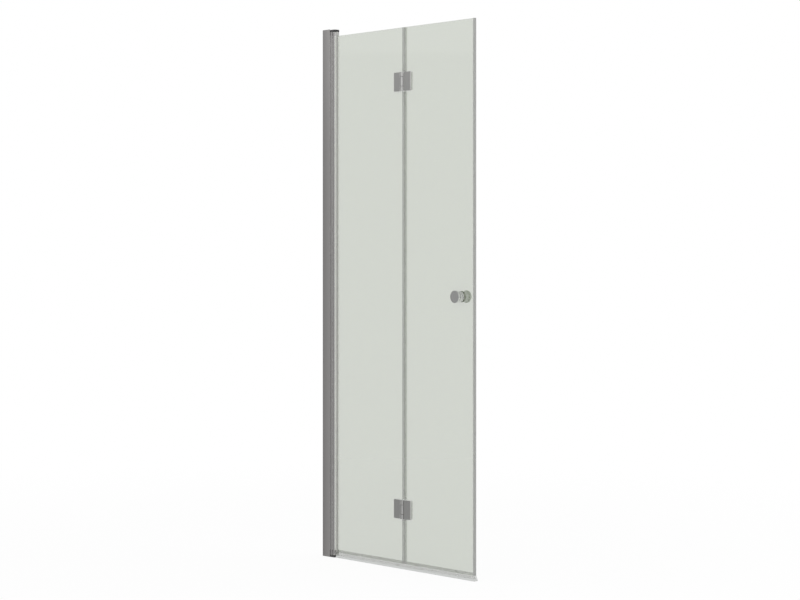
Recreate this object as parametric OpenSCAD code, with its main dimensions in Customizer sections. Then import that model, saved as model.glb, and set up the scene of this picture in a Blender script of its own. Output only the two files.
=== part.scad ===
// Two-leaf folding shower door on a wall channel.
// +X runs from the wall to the free edge, -Y faces the bathroom, +Y the shower, +Z is up.
// The origin is on the wall, at floor level, on the centre line of the closed glass.

/* [Opening] */
// Width of the closed door, from the wall to the tip of the edge seal
door_w = 775; // [680:5:900]
// Height of the wall channel above the floor
door_h = 1900; // [1700:10:2000]
// Distance from the wall to the fold axis
fold_x = 419; // [360:1:480]

/* [Wall frame] */
// How far the wall channel stands off the wall
channel_reach = 40; // [36:1:50]
// Width of the wall channel across the glass
channel_w = 30; // [30:1:36]
// Wall thickness of the wall channel
channel_wall = 1.6; // [1.2:0.1:2]
// Diameter of the wall screw holes
anchor_hole_d = 5.2; // [4:0.1:6.5]
// Distance from each end of the channel to its first wall screw
anchor_inset = 200; // [100:10:300]
// How deep the adjusting profile sits in the wall channel
profile_grip = 26; // [22:1:28]
// Wall thickness of the adjusting profile
profile_wall = 1.6; // [1.2:0.1:2]
// Gap between the adjusting profile and the channel on each side
slide_clear = 0.3; // [0.2:0.05:0.5]
// Diameter of the side screws that lock the adjustment
adjust_screw_d = 3.9; // [3.5:0.1:4.2]
// Distance from each end of the channel to its first side screw
adjust_inset = 150; // [100:10:300]
// Diameter of the covers on the side screws
cover_d = 12; // [11:0.5:14]

/* [Pivot stile] */
// Width of the turning stile across the glass
stile_w = 26; // [24:1:27]
// Distance from the pivot axis to the mouth of the stile
stile_nose = 6.5; // [6:0.5:12]
// Wall thickness of the stile
stile_wall = 1.6; // [1.2:0.1:2]
// Gap between the channel and the back of the stile
stile_gap = 4.5; // [4:0.5:8]
// Thickness of the top and bottom brackets
bracket_t = 8; // [7:0.5:12]
// Drop from the top of the channel to the top bracket
bracket_drop = 2; // [0:0.5:5]
// Diameter of the pivot pins
pivot_pin_d = 6; // [5:0.1:6.4]
// Depth of each pivot pin in its bracket
pivot_pin_grip = 6; // [4:0.5:6.5]
// Thickness of the end plugs of the stile
plug_t = 2.6; // [2:0.1:4]
// Diameter of the screws in the end plugs and brackets
end_screw_d = 3; // [2.5:0.1:3.2]

/* [Glass] */
// Thickness of the glass
glass_t = 6; // [5:0.5:6.5]
// Drop from the top of the channel to the top edge of the glass
glass_drop = 25; // [22:1:40]
// Height of the bottom edge of the glass above the floor
glass_foot = 18; // [17:1:25]
// Gap between the two glass panels at the fold
fold_gap = 11; // [10:0.5:14]
// Chamfer along the glass edges
glass_arris = 0.6; // [0.3:0.1:1]

/* [Hinges] */
// Height of a hinge
hinge_h = 65; // [60:1:90]
// Reach of each hinge leaf from the fold axis
leaf_reach = 42.5; // [38:0.5:55]
// Thickness of the front leaf plates
leaf_t = 5; // [4.6:0.1:6]
// Thickness of the clamp plates behind the glass
clamp_t = 4; // [3.4:0.1:5]
// Outer diameter of the hinge barrel
barrel_d = 10.4; // [9.4:0.2:11]
// Diameter of the hinge pin
hinge_pin_d = 6; // [5:0.1:6.2]
// Height of the middle knuckle
knuckle_h = 31; // [20:1:40]
// Distance from the top or bottom edge of the glass to the centre of a hinge
hinge_inset = 188; // [120:2:300]
// Diameter of the hinge screws
hinge_screw_d = 5; // [4:0.1:5.4]
// Diameter of the holes in the glass
glass_hole_d = 12; // [11:0.5:14]

/* [Knobs] */
// Diameter of a knob
knob_d = 42; // [36:1:48]
// Height of a knob above its washer
knob_h = 26; // [24:1:32]
// Height of the knobs above the floor
knob_z = 946; // [850:1:1100]
// Distance from the free edge to the knob axis
knob_inset = 72; // [60:1:100]
// Diameter of the stud through the glass
knob_stud_d = 7.8; // [6:0.1:8.2]

/* [Seals and threshold] */
// Thickness of the clear seals
seal_t = 1; // [0.8:0.1:1.2]
// Width of the clip on the fold edge
fold_clip = 7; // [5:1:16]
// Width of the clip on the free edge
edge_clip = 3; // [2:0.5:12]
// Height of the clip on the bottom edges
bottom_clip = 9; // [6:1:16]
// Diameter of the tube along the free edge
edge_tube_d = 8; // [6:0.5:10]
// Height of the threshold bar
threshold_h = 8; // [6:0.5:8]
// Width of the threshold bar on the floor
threshold_w = 18; // [16:1:24]
// Wall thickness of the threshold bar
threshold_wall = 1.4; // [1:0.1:1.8]

/* [Hidden] */
$fn = 64;

// Fits and small gaps
running_clear = 0.05;      // radial, between a pin and its bush
pin_fit = 0.02;            // radial, between a pivot pin and its bracket
screw_clear = 0.1;         // radial, around a screw shank
seat_clear = 0.3;          // between neighbours that don't touch
fold_seal_clear = 0.5;     // between the fold seal and the first glass panel
overcut = 1;               // how far a cut runs past a face
cut_lap = 0.01;            // how far two cuts run into each other
weld = 0.4;                // how far two shapes of one piece run into each other

// Wall frame
anchor_rows = 4;
adjust_rows = 3;
channel_inner = channel_w/2 - channel_wall;
profile_outer = channel_inner - slide_clear;
profile_inner = profile_outer - profile_wall;
profile_x = channel_reach - profile_grip;
web_x = channel_reach + seat_clear;
anchor_pitch = (door_h - 2*anchor_inset)/(anchor_rows - 1);
adjust_pitch = (door_h - 2*adjust_inset)/(adjust_rows - 1);
adjust_x = channel_reach - profile_grip/2;
adjust_head_d = 7.5;
adjust_head_h = 2.4;
adjust_screw_l = 7;
cover_h = 4.5;
cover_wall = 1;
end_screw_l = 16;
end_head_d = 2*end_screw_d;
port_wall = 1.5;           // metal round a bracket screw
port_r = end_screw_d/2 + port_wall;
port_x = web_x - port_r + weld;
port_y = profile_inner - port_r + weld;
cap_t = 3;
cap_skirt = 8;

// Pivot stile
stile_r = stile_w/2;
pivot_x = channel_reach + stile_gap + stile_r;
mouth_x = pivot_x + stile_nose;
cove_clear = 0.4;
cove_tip = 7;              // from the pivot axis back to the tips of the cove
cove_tip_x = pivot_x - cove_tip;
rubber_side = 2.5;         // rubber on each side of the glass in the stile
slot_half = glass_t/2 + rubber_side;
slot_depth = 13.5;
slot_x = mouth_x - slot_depth;
inner_nose = 1;            // how far the inner side of the stile runs past the pivot axis
inner_mouth_x = pivot_x + inner_nose;
cove_r = stile_r + cove_clear;
stile_corner_r = 1.2;
bracket_corner_r = 8;
pivot_float = 0.3;
pivot_washer_t = 0.8;
bush_wall = 1;
bush_r = pivot_pin_d/2 + running_clear + bush_wall;
flange_lip = 2.5;          // how far the flange of a bush stands out
pivot_washer_r = bush_r + flange_lip;
pin_end_clear = 1;
plug_head_d = end_head_d - 1;
plug_head_h = end_screw_d/4;
plug_port_wall = 0.9;      // metal round a plug screw
plug_port_behind = 3;      // from the pivot axis towards the wall
plug_port_r = end_screw_d/2 + plug_port_wall;
plug_port_x = pivot_x - plug_port_behind;
plug_port_y = (slot_half + stile_r)/2;
end_pilot_r = end_screw_d/2;

// Heights
bracket_top_z = door_h - bracket_drop - bracket_t;
plug_gap = pivot_float + pivot_washer_t;
stile_z0 = bracket_t + plug_gap + plug_t;
stile_z1 = bracket_top_z - plug_gap - plug_t;
glass_z0 = glass_foot;
glass_z1 = door_h - glass_drop;
hinge_zs = [glass_z0 + hinge_inset, glass_z1 - hinge_inset];

// Glass
glass_half = glass_t/2;
glass_bed = 1.5;           // rubber behind the edge of the glass in the stile
glass_1_x = slot_x + glass_bed;
fold_edge_1 = fold_x - fold_gap/2;
fold_edge_2 = fold_x + fold_gap/2;
edge_base_t = 1.2;
free_edge = door_w - edge_tube_d - edge_base_t + weld;
lip_reach = 5;
lip_x = mouth_x + lip_reach;
inner_lip_x = inner_mouth_x + lip_reach;

// Hinges
hinge_gasket_t = 0.5;
axis_stand = 0.6;
fold_y = -(glass_half + hinge_gasket_t + leaf_t + axis_stand);
clamp_y = glass_half + hinge_gasket_t;
barrel_r = barrel_d/2;
plate_gap_1 = 5.3;         // from the barrel to the plate of the first leaf
plate_gap_2 = 0.8;         // from the barrel to the plate of the second leaf
plate_inner_1 = barrel_r + plate_gap_1;
plate_inner_2 = barrel_r + plate_gap_2;
plate_corner_r = 1.5;
plate_ease = 0.6;
washer_t = 1.2;
knuckle_gap = washer_t + seat_clear;
hinge_bush_wall = 0.8;
hinge_bush_r = hinge_pin_d/2 + running_clear + hinge_bush_wall;
hinge_screw_edge = 13;     // from the outer edge of a leaf to its screws
hinge_screw_x = leaf_reach - hinge_screw_edge;
hinge_screw_z = 0.28*hinge_h;
hinge_head_d = 1.8*hinge_screw_d;
hinge_head_h = 2.2;
sleeve_clear = 0.2;        // radial, between a sleeve and the glass
clamp_short = 6.5;         // how much less far a clamp plate reaches than its leaf
clamp_low = 2;             // how much lower it is at the top and the bottom
clamp_reach = leaf_reach - clamp_short;
clamp_h = hinge_h - 2*clamp_low;
sleeve_r = glass_hole_d/2 - sleeve_clear;
screw_tip_cover = 1.2;     // metal left in front of the screw tips

// Knobs
knob_x = door_w - knob_inset;
knob_r = knob_d/2;
knob_washer_t = 1;
knob_rim_r = 0.8;
knob_waist = 4;            // depth of the hollow round the waist
knob_waist_r = 18;         // radius of that hollow in section
knob_waist_h = 8;          // its height above the base
knob_washer_inset = 4;     // how far the washer stays inside the knob
knob_washer_r = knob_r - knob_washer_inset;
stud_r = knob_stud_d/2;
stud_reach = 16;
set_screw_d = 4;
set_screw_h = 6;
set_screw_inset = 1;       // how far a grub screw sits inside the waist

// Seals and threshold
lip_gap = 0.4;
fin_splay = 1.8;
seal_base_t = 1.3;
upright_z0 = glass_z0 + seat_clear;
seal_1_x0 = mouth_x + seat_clear;
seal_1_x1 = fold_edge_1 - seat_clear;
seal_2_x0 = fold_edge_1 + fold_seal_clear;
clip_1_x0 = lip_x + seat_clear;
clip_2_x0 = fold_edge_2 + fold_clip + seat_clear;
clip_2_x1 = free_edge - edge_clip - seat_clear;
tube_wall = 0.9;
fold_tube_r = (fold_gap - seal_base_t - fold_seal_clear + weld)/2;
threshold_lean = 5;        // how much narrower its top is than its foot
threshold_top_w = threshold_w - threshold_lean;
threshold_side = 1.2;      // width cut from a sloping side for each unit of wall
threshold_cap_t = 2;

// A rectangle with round corners, from its lower left corner
module round_rect(w, h, r) {
    translate([r, 0]) square([w - 2*r, h]);
    translate([0, r]) square([w, h - 2*r]);
    for (x = [r, w - r], y = [r, h - r]) translate([x, y]) circle(r);
}

// A rectangle with cut corners, from its lower left corner
module chamfered_rect(w, h, c) {
    polygon([[c, 0], [w - c, 0], [w, c], [w, h - c], [w - c, h], [c, h], [0, h - c], [0, c]]);
}

// Lays a YZ outline along +X
module along_x(x, length) {
    translate([x, 0, 0]) rotate([90, 0, 90]) linear_extrude(length) children();
}

// Stands an XY outline up along +Z
module along_z(z, length) {
    translate([0, 0, z]) linear_extrude(length) children();
}

// A round bar along +Y that starts at y
module bar_y(x, y, z, r, length) {
    translate([x, y, z]) rotate([-90, 0, 0]) cylinder(r = r, h = length);
}

// A countersunk screw that points down, with its head flush at z = 0
module countersunk_screw(d, head_d, head_h, length) {
    translate([0, 0, -head_h]) cylinder(r1 = d/2, r2 = head_d/2, h = head_h);
    translate([0, 0, -length]) cylinder(d = d, h = length - head_h);
}

// The hole for such a screw
module countersunk_hole(d, head_d, head_h, length) {
    translate([0, 0, -head_h])
        cylinder(r1 = d/2 + screw_clear, r2 = head_d/2 + screw_clear, h = head_h);
    translate([0, 0, -cut_lap]) cylinder(r = head_d/2 + screw_clear, h = overcut);
    translate([0, 0, -length - overcut])
        cylinder(r = d/2 + screw_clear, h = length + overcut - head_h/2);
}

// ---- Wall frame ----

module wall_channel() {
    color("#8f8e8c")
    difference() {
        along_z(0, door_h)
            difference() {
                translate([0, -channel_w/2]) square([channel_reach, channel_w]);
                translate([channel_wall, -channel_inner])
                    square([channel_reach, 2*channel_inner]);
            }
        for (i = [0 : anchor_rows - 1])
            translate([-overcut, 0, anchor_inset + i*anchor_pitch])
                rotate([0, 90, 0]) cylinder(d = anchor_hole_d, h = channel_wall + 2*overcut);
        for (i = [0 : adjust_rows - 1])
            bar_y(adjust_x, channel_inner - overcut, adjust_inset + i*adjust_pitch,
                  adjust_screw_d/2 + screw_clear, channel_wall + 2*overcut);
    }
}

// Closes the top of the channel behind the bracket
module channel_cap() {
    w = 2*(channel_inner - slide_clear/2);
    l = profile_x - channel_wall - seat_clear;
    color("#2b2a2a") {
        translate([channel_wall, -w/2, bracket_top_z + bracket_t - cap_t]) cube([l, w, cap_t]);
        translate([channel_wall, -w/2, bracket_top_z + bracket_t - cap_t - cap_skirt])
            difference() {
                cube([l, w, cap_skirt]);
                translate([profile_wall, profile_wall, -overcut])
                    cube([l - 2*profile_wall, w - 2*profile_wall, cap_skirt + overcut]);
            }
    }
}

module profile_port(side) {
    translate([port_x, side*port_y]) circle(port_r);
}

// The outer end of the adjusting profile is a cove that hugs the round back of the stile
module adjusting_profile() {
    color("#7f7e7c")
    difference() {
        along_z(bracket_t, bracket_top_z - bracket_t)
            difference() {
                union() {
                    for (side = [-1, 1])
                        translate([profile_x, side > 0 ? profile_inner : -profile_outer])
                            square([web_x + profile_wall - profile_x, profile_wall]);
                    translate([web_x, -profile_outer])
                        square([cove_tip_x - web_x, 2*profile_outer]);
                    for (side = [-1, 1]) profile_port(side);
                }
                translate([pivot_x, 0]) circle(cove_r);
                for (side = [-1, 1])
                    translate([port_x, side*port_y]) circle(end_pilot_r);
            }
        for (i = [0 : adjust_rows - 1])
            bar_y(adjust_x, profile_inner - overcut, adjust_inset + i*adjust_pitch,
                  adjust_screw_d/2 + screw_clear/2, profile_wall + 2*overcut);
    }
}

module adjusting_screws() {
    color("#b5b5b2")
    for (i = [0 : adjust_rows - 1]) {
        z = adjust_inset + i*adjust_pitch;
        bar_y(adjust_x, channel_w/2, z, adjust_head_d/2, adjust_head_h);
        bar_y(adjust_x, channel_w/2 - adjust_screw_l, z, adjust_screw_d/2, adjust_screw_l);
    }
}

module screw_covers() {
    color("#a9a8a6")
    for (i = [0 : adjust_rows - 1]) {
        z = adjust_inset + i*adjust_pitch;
        translate([adjust_x, channel_w/2, z]) rotate([-90, 0, 0])
            rotate_extrude() difference() {
                union() {
                    square([cover_d/2, cover_h - cover_wall]);
                    square([cover_d/2 - cover_wall, cover_h]);
                    translate([cover_d/2 - cover_wall, cover_h - cover_wall])
                        intersection() {
                            circle(cover_wall);
                            square(cover_wall);
                        }
                }
                translate([-overcut, -overcut])
                    square([cover_d/2 - cover_wall + overcut, cover_h - cover_wall + overcut]);
            }
    }
}

module bracket_outline() {
    r = bracket_corner_r;
    translate([profile_x, -stile_r]) square([mouth_x - r - profile_x, stile_w]);
    translate([profile_x, r - stile_r]) square([mouth_x - profile_x, stile_w - 2*r]);
    for (side = [-1, 1])
        translate([mouth_x - r, side*(stile_r - r)]) circle(r);
}

// A bracket as the bottom one lies, with its outer face at z = 0
module bracket() {
    difference() {
        along_z(0, bracket_t) bracket_outline();
        translate([pivot_x, 0, bracket_t - pivot_pin_grip])
            cylinder(r = pivot_pin_d/2 + pin_fit, h = pivot_pin_grip + overcut);
        for (side = [-1, 1])
            translate([port_x, side*port_y, 0]) mirror([0, 0, 1])
                countersunk_hole(end_screw_d, end_head_d, end_screw_d/2, bracket_t);
    }
}

module bottom_bracket() {
    color("#2b2a2a") bracket();
}

module top_bracket() {
    color("#2b2a2a")
    translate([0, 0, bracket_top_z + bracket_t]) mirror([0, 0, 1]) bracket();
}

module bracket_screws() {
    color("#b5b5b2")
    for (side = [-1, 1]) {
        translate([port_x, side*port_y, 0]) mirror([0, 0, 1])
            countersunk_screw(end_screw_d, end_head_d, end_screw_d/2, end_screw_l);
        translate([port_x, side*port_y, bracket_top_z + bracket_t])
            countersunk_screw(end_screw_d, end_head_d, end_screw_d/2, end_screw_l);
    }
}

module bottom_pivot_pin() {
    z0 = bracket_t - pivot_pin_grip;
    color("#c4c4c2")
    translate([pivot_x, 0, z0]) cylinder(d = pivot_pin_d, h = glass_z0 - pin_end_clear - z0);
}

module top_pivot_pin() {
    z1 = bracket_top_z + pivot_pin_grip;
    color("#c4c4c2")
    translate([pivot_x, 0, glass_z1 + pin_end_clear])
        cylinder(d = pivot_pin_d, h = z1 - glass_z1 - pin_end_clear);
}

module threshold_outline(inset) {
    slope = (threshold_w - threshold_top_w)/2/threshold_h;
    low = threshold_w/2 - threshold_side*inset - slope*inset;
    high = threshold_top_w/2 - threshold_side*inset + slope*inset;
    polygon([[-low, inset], [low, inset], [high, threshold_h - inset], [-high, threshold_h - inset]]);
}

module threshold_bar() {
    color("#c9cac9")
    along_x(mouth_x, door_w - threshold_cap_t - mouth_x)
        difference() {
            threshold_outline(0);
            threshold_outline(threshold_wall);
        }
}

module threshold_end_cap() {
    color("#bfc0bf") {
        along_x(door_w - threshold_cap_t, threshold_cap_t) threshold_outline(0);
        along_x(door_w - threshold_cap_t - cap_skirt, cap_skirt)
            threshold_outline(threshold_wall + screw_clear);
    }
}

// ---- First panel: the stile and its glass ----

// The stile in plan: a half round back, an outer nose with an eased square corner, and an
// inner side that stops at the pivot, so that it passes the cove as the door folds in
module stile_outline() {
    r = stile_corner_r;
    intersection() {
        translate([pivot_x, 0]) circle(stile_r);
        translate([pivot_x - stile_r, -stile_r]) square([stile_r + inner_nose, stile_w]);
    }
    translate([pivot_x, -stile_r]) square([stile_nose - r, stile_r]);
    translate([pivot_x, r - stile_r]) square([stile_nose, stile_r - r]);
    translate([mouth_x - r, r - stile_r]) circle(r);
}

module plug_port(side, r) {
    translate([plug_port_x, side*plug_port_y]) circle(r);
}

// The space in the stile round the glass slot. The inner side is solid beyond its screw port.
module stile_hollow() {
    difference() {
        intersection() {
            translate([pivot_x, 0]) circle(stile_r - stile_wall);
            union() {
                translate([pivot_x - stile_r, -stile_r])
                    square([stile_r + stile_nose - stile_wall, stile_r]);
                translate([pivot_x - stile_r, 0])
                    square([stile_r - plug_port_behind, stile_r]);
            }
        }
        translate([slot_x - stile_wall, -slot_half - stile_wall])
            square([slot_depth + 2*stile_wall, 2*(slot_half + stile_wall)]);
        for (side = [-1, 1]) plug_port(side, plug_port_r);
    }
}

module pivot_stile() {
    color("#9b9a96")
    along_z(stile_z0, stile_z1 - stile_z0)
        difference() {
            stile_outline();
            stile_hollow();
            translate([slot_x, -slot_half]) square([slot_depth + overcut, 2*slot_half]);
            for (side = [-1, 1]) plug_port(side, end_pilot_r);
        }
}

// An end plug closes the stile and the mouth of its glass slot
module plug_outline() {
    stile_outline();
    translate([pivot_x, -slot_half]) square([stile_nose, 2*slot_half]);
}

// An end plug as the bottom one lies, with its outer face at z = 0.
// Its boss fills the glass slot up to the edge of the glass.
module stile_plug(boss_h) {
    difference() {
        union() {
            along_z(0, plug_t) plug_outline();
            along_z(plug_t, boss_h)
                translate([slot_x + seat_clear, seat_clear - slot_half])
                    square([slot_depth - 2*seat_clear, 2*(slot_half - seat_clear)]);
        }
        translate([pivot_x, 0, -overcut])
            cylinder(r = bush_r, h = plug_t + boss_h + 2*overcut);
        for (side = [-1, 1])
            translate([plug_port_x, side*plug_port_y, 0]) mirror([0, 0, 1])
                countersunk_hole(end_screw_d, plug_head_d, plug_head_h, plug_t);
    }
}

module bottom_stile_plug() {
    color("#77756f")
    translate([0, 0, stile_z0 - plug_t]) stile_plug(glass_z0 - seat_clear - stile_z0);
}

module top_stile_plug() {
    color("#adada9")
    translate([0, 0, stile_z1 + plug_t]) mirror([0, 0, 1])
        stile_plug(stile_z1 - glass_z1 - seat_clear);
}

module plug_screws() {
    color("#b5b5b2")
    for (side = [-1, 1]) {
        translate([plug_port_x, side*plug_port_y, stile_z0 - plug_t]) mirror([0, 0, 1])
            countersunk_screw(end_screw_d, plug_head_d, plug_head_h, end_screw_l);
        translate([plug_port_x, side*plug_port_y, stile_z1 + plug_t])
            countersunk_screw(end_screw_d, plug_head_d, plug_head_h, end_screw_l);
    }
}

// A flanged bush as the bottom one lies, with its flange face at z = 0
module pivot_bush(length) {
    difference() {
        union() {
            cylinder(r = pivot_washer_r, h = pivot_washer_t);
            cylinder(r = bush_r, h = length);
        }
        translate([0, 0, -overcut])
            cylinder(r = pivot_pin_d/2 + running_clear, h = length + 2*overcut);
    }
}

module bottom_pivot_bush() {
    z0 = stile_z0 - plug_t - pivot_washer_t;
    color("#e8e6df") translate([pivot_x, 0, z0]) pivot_bush(glass_z0 - seat_clear - z0);
}

module top_pivot_bush() {
    z1 = stile_z1 + plug_t + pivot_washer_t;
    color("#e8e6df")
    translate([pivot_x, 0, z1]) mirror([0, 0, 1]) pivot_bush(z1 - glass_z1 - seat_clear);
}

// A U strip round the glass edge, whose lips taper on to the glass outside the mouth
module glazing_gasket() {
    color("#6f7069")
    along_z(glass_z0, glass_z1 - glass_z0)
        difference() {
            polygon([
                [slot_x, -slot_half], [mouth_x, -slot_half], [lip_x, -glass_half - seal_t/2],
                [lip_x, 0], [inner_lip_x, 0], [inner_lip_x, glass_half + seal_t/2],
                [inner_mouth_x, slot_half], [slot_x, slot_half]
            ]);
            translate([glass_1_x, -glass_half]) square([lip_x, glass_t]);
        }
}

module glass_sheet(x0, x1) {
    w = x1 - x0;
    h = glass_z1 - glass_z0;
    intersection() {
        along_z(glass_z0, h)
            translate([x0, -glass_half]) chamfered_rect(w, glass_t, glass_arris);
        along_x(x0, w)
            translate([-glass_half, glass_z0]) chamfered_rect(glass_t, h, glass_arris);
    }
}

module hinge_glass_holes(side) {
    for (z = hinge_zs, s = [-1, 1])
        bar_y(fold_x + side*hinge_screw_x, -glass_half - overcut, z + s*hinge_screw_z,
              glass_hole_d/2, glass_t + 2*overcut);
}

module glass_panel_1() {
    color([0.80, 0.83, 0.79, 0.4])
    difference() {
        glass_sheet(glass_1_x, fold_edge_1);
        hinge_glass_holes(-1);
    }
}

// ---- Seals ----

// A bottom seal in YZ: a clip on the glass and two splayed fins down to the threshold
module bottom_seal_outline() {
    half = glass_half + seal_t;
    root_z = glass_z0 - seal_base_t;
    clip_z = glass_z0 + bottom_clip;
    tip_z = threshold_h + lip_gap;
    tip = half + fin_splay;
    polygon([
        [-half, clip_z], [-glass_half, clip_z], [-glass_half, glass_z0], [glass_half, glass_z0],
        [glass_half, clip_z], [half, clip_z], [half, root_z], [tip, tip_z], [tip - seal_t, tip_z],
        [half - seal_t, root_z], [seal_t - half, root_z], [seal_t - tip, tip_z], [-tip, tip_z],
        [-half, root_z]
    ]);
}

// A bottom seal from x0 to x1. Its clip runs from c0 to c1 only, clear of the upright strips
module bottom_seal(x0, x1, c0, c1) {
    difference() {
        along_x(x0, x1 - x0) bottom_seal_outline();
        for (ends = [[x0 - overcut, c0], [c1, x1 + overcut]])
            translate([ends[0], -stile_r, glass_z0])
                cube([ends[1] - ends[0], stile_w, bottom_clip + overcut]);
    }
}

module bottom_seal_1() {
    color([0.66, 0.68, 0.65]) bottom_seal(seal_1_x0, seal_1_x1, clip_1_x0, seal_1_x1);
}

module bottom_seal_2() {
    color([0.66, 0.68, 0.65]) bottom_seal(seal_2_x0, door_w, clip_2_x0, clip_2_x1);
}

// A clip on a vertical glass edge at x = 0, with the glass towards +X
module edge_clip_outline(clip, base) {
    half = glass_half + seal_t;
    for (side = [-1, 1])
        translate([-base, side > 0 ? glass_half : -half]) square([clip + base, seal_t]);
    translate([-base, -half]) square([base, 2*half]);
}

// A hollow tube beside that clip
module edge_tube_outline(base, r) {
    difference() {
        translate([weld - base - r, 0]) circle(r);
        translate([weld - base - r, 0]) circle(r - tube_wall);
        translate([-base/2, -glass_t]) square([base, 2*glass_t]);
    }
}

module fold_seal_outline() {
    translate([fold_edge_2, 0]) {
        edge_clip_outline(fold_clip, seal_base_t);
        edge_tube_outline(seal_base_t, fold_tube_r);
    }
}

// The fold seal is cut in three, above, between and below the hinges
module fold_seal() {
    half = hinge_h/2 + seal_t;
    starts = [upright_z0, hinge_zs[0] + half, hinge_zs[1] + half];
    ends = [hinge_zs[0] - half, hinge_zs[1] - half, glass_z1];
    color([0.62, 0.64, 0.60])
    for (i = [0 : 2])
        along_z(starts[i], ends[i] - starts[i]) fold_seal_outline();
}

module edge_seal() {
    color([0.62, 0.64, 0.62])
    along_z(upright_z0, glass_z1 - upright_z0)
        translate([free_edge, 0]) mirror([1, 0, 0]) {
            edge_clip_outline(edge_clip, edge_base_t);
            edge_tube_outline(edge_base_t, edge_tube_d/2);
        }
}

// ---- Hinges ----

// A plate in XZ from x0 to x1, h high about z = 0, with its eased face at y and its back at y + t
module eased_plate(x0, x1, h, y, t) {
    w = x1 - x0;
    c = plate_ease;
    intersection() {
        translate([x0, y + t, -h/2]) rotate([90, 0, 0]) linear_extrude(t)
            round_rect(w, h, plate_corner_r);
        along_z(-h/2, h)
            translate([x0, y]) polygon([[c, 0], [w - c, 0], [w, c], [w, t], [0, t], [0, c]]);
        along_x(x0, w)
            translate([y, -h/2]) polygon([[c, 0], [t, 0], [t, h], [c, h], [0, h - c], [0, c]]);
    }
}

// The blind screw holes in the back of a leaf, on one side of the fold axis
module leaf_screw_holes(side) {
    for (s = [-1, 1])
        bar_y(side*hinge_screw_x, axis_stand + screw_tip_cover, s*hinge_screw_z,
              hinge_screw_d/2 + screw_clear, leaf_t);
}

// Leaf of the first panel, about the fold axis: its plate and the middle knuckle
module leaf_1() {
    difference() {
        union() {
            eased_plate(-leaf_reach, -plate_inner_1, hinge_h, axis_stand, leaf_t);
            translate([-plate_inner_1 - weld, axis_stand, -knuckle_h/2])
                cube([plate_inner_1 + weld, leaf_t - axis_stand, knuckle_h]);
            translate([0, 0, -knuckle_h/2]) cylinder(r = barrel_r, h = knuckle_h);
        }
        translate([0, 0, -knuckle_h/2 - overcut])
            cylinder(r = hinge_bush_r, h = knuckle_h + 2*overcut);
        leaf_screw_holes(-1);
    }
}

// Leaf of the second panel: its plate and the two outer knuckles
module leaf_2() {
    low = knuckle_h/2 + knuckle_gap;
    h = hinge_h/2 - low;
    difference() {
        union() {
            eased_plate(plate_inner_2, leaf_reach, hinge_h, axis_stand, leaf_t);
            for (z = [low, -low - h]) {
                translate([0, axis_stand, z])
                    cube([plate_inner_2 + plate_corner_r, leaf_t - axis_stand, h]);
                translate([0, 0, z]) cylinder(r = barrel_r, h = h);
            }
        }
        translate([0, 0, -hinge_h/2 - overcut])
            cylinder(r = hinge_pin_d/2 + running_clear, h = hinge_h + 2*overcut);
        leaf_screw_holes(1);
    }
}

module at_hinge(i) {
    translate([fold_x, fold_y, hinge_zs[i]]) children();
}

module leaf_plate_tint() {
    color("#93928f") children();
}

module lower_leaf_1() { leaf_plate_tint() at_hinge(0) leaf_1(); }
module upper_leaf_1() { leaf_plate_tint() at_hinge(1) leaf_1(); }
module lower_leaf_2() { leaf_plate_tint() at_hinge(0) leaf_2(); }
module upper_leaf_2() { leaf_plate_tint() at_hinge(1) leaf_2(); }

// Clamp plate behind the glass; side is -1 for the first panel and 1 for the second
module clamp_plate(side, i) {
    inner = side < 0 ? plate_inner_1 : plate_inner_2;
    color("#93928f")
    translate([fold_x, 0, hinge_zs[i]])
        difference() {
            translate([0, 2*clamp_y + clamp_t, 0]) mirror([0, 1, 0])
                eased_plate(side < 0 ? -clamp_reach : inner, side < 0 ? -inner : clamp_reach,
                            clamp_h, clamp_y, clamp_t);
            for (s = [-1, 1])
                translate([side*hinge_screw_x, clamp_y + clamp_t, s*hinge_screw_z])
                    rotate([-90, 0, 0])
                    countersunk_hole(hinge_screw_d, hinge_head_d, hinge_head_h, clamp_t);
        }
}

module lower_clamp_plate_1() { clamp_plate(-1, 0); }
module upper_clamp_plate_1() { clamp_plate(-1, 1); }
module lower_clamp_plate_2() { clamp_plate(1, 0); }
module upper_clamp_plate_2() { clamp_plate(1, 1); }

// Soft sheets on both faces of the glass; the front one carries sleeves through the glass holes
module hinge_gaskets(side) {
    inner = side < 0 ? plate_inner_1 : plate_inner_2;
    x0 = fold_x + (side < 0 ? -leaf_reach : inner + plate_corner_r);
    back_x0 = x0 + (side < 0 ? clamp_short : 0);
    w = leaf_reach - inner - plate_corner_r;
    h = hinge_h - 2*plate_ease;
    back_h = clamp_h - 2*plate_ease;
    color("#d9d9d4")
    for (z = hinge_zs) {
        difference() {
            union() {
                translate([x0, -clamp_y, z - h/2]) cube([w, hinge_gasket_t, h]);
                for (s = [-1, 1])
                    bar_y(fold_x + side*hinge_screw_x, -clamp_y, z + s*hinge_screw_z,
                          sleeve_r, clamp_y + glass_half);
            }
            for (s = [-1, 1])
                bar_y(fold_x + side*hinge_screw_x, -clamp_y - overcut, z + s*hinge_screw_z,
                      hinge_screw_d/2 + screw_clear, 2*clamp_y + 2*overcut);
        }
        difference() {
            translate([back_x0, glass_half, z - back_h/2])
                cube([w - clamp_short, hinge_gasket_t, back_h]);
            for (s = [-1, 1])
                bar_y(fold_x + side*hinge_screw_x, 0, z + s*hinge_screw_z,
                      hinge_screw_d/2 + screw_clear, clamp_y + overcut);
        }
    }
}

module hinge_gaskets_1() { hinge_gaskets(-1); }
module hinge_gaskets_2() { hinge_gaskets(1); }

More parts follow.
